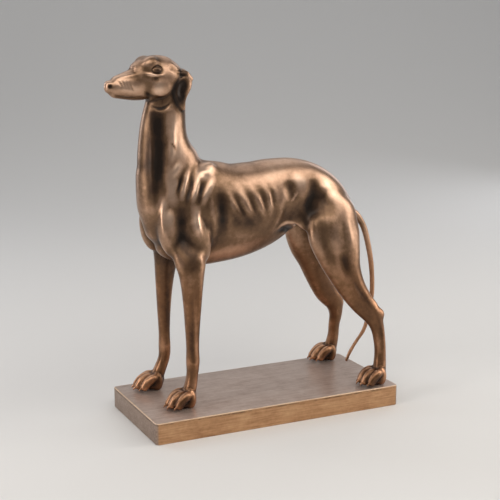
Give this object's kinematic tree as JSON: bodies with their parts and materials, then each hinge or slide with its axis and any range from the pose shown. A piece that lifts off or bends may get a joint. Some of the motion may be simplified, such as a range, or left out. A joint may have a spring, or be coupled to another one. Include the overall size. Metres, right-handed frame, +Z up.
{
  "type": "greyhound statue",
  "caption": "Standing greyhound with deep chest, arched loin and long tail, cast in a bronze finish on a flat rectangular plinth.",
  "frame": {"origin": "centre of the plinth's underside", "axes": "+Z up, the dog looks towards -X and its left side faces -Y; the plinth's length runs along X"},
  "size_m": [0.2779, 0.116, 0.3379],
  "materials": {
    "bronze": "antique bronze, polished on the high places and dark brown in the hollows",
    "plinth_finish": "brushed bronze paint, satin, streaked along its length"
  },
  "bodies": {
    "root": {"greyhound": "bronze", "plinth": "plinth_finish"}
  },
  "joints": []
}
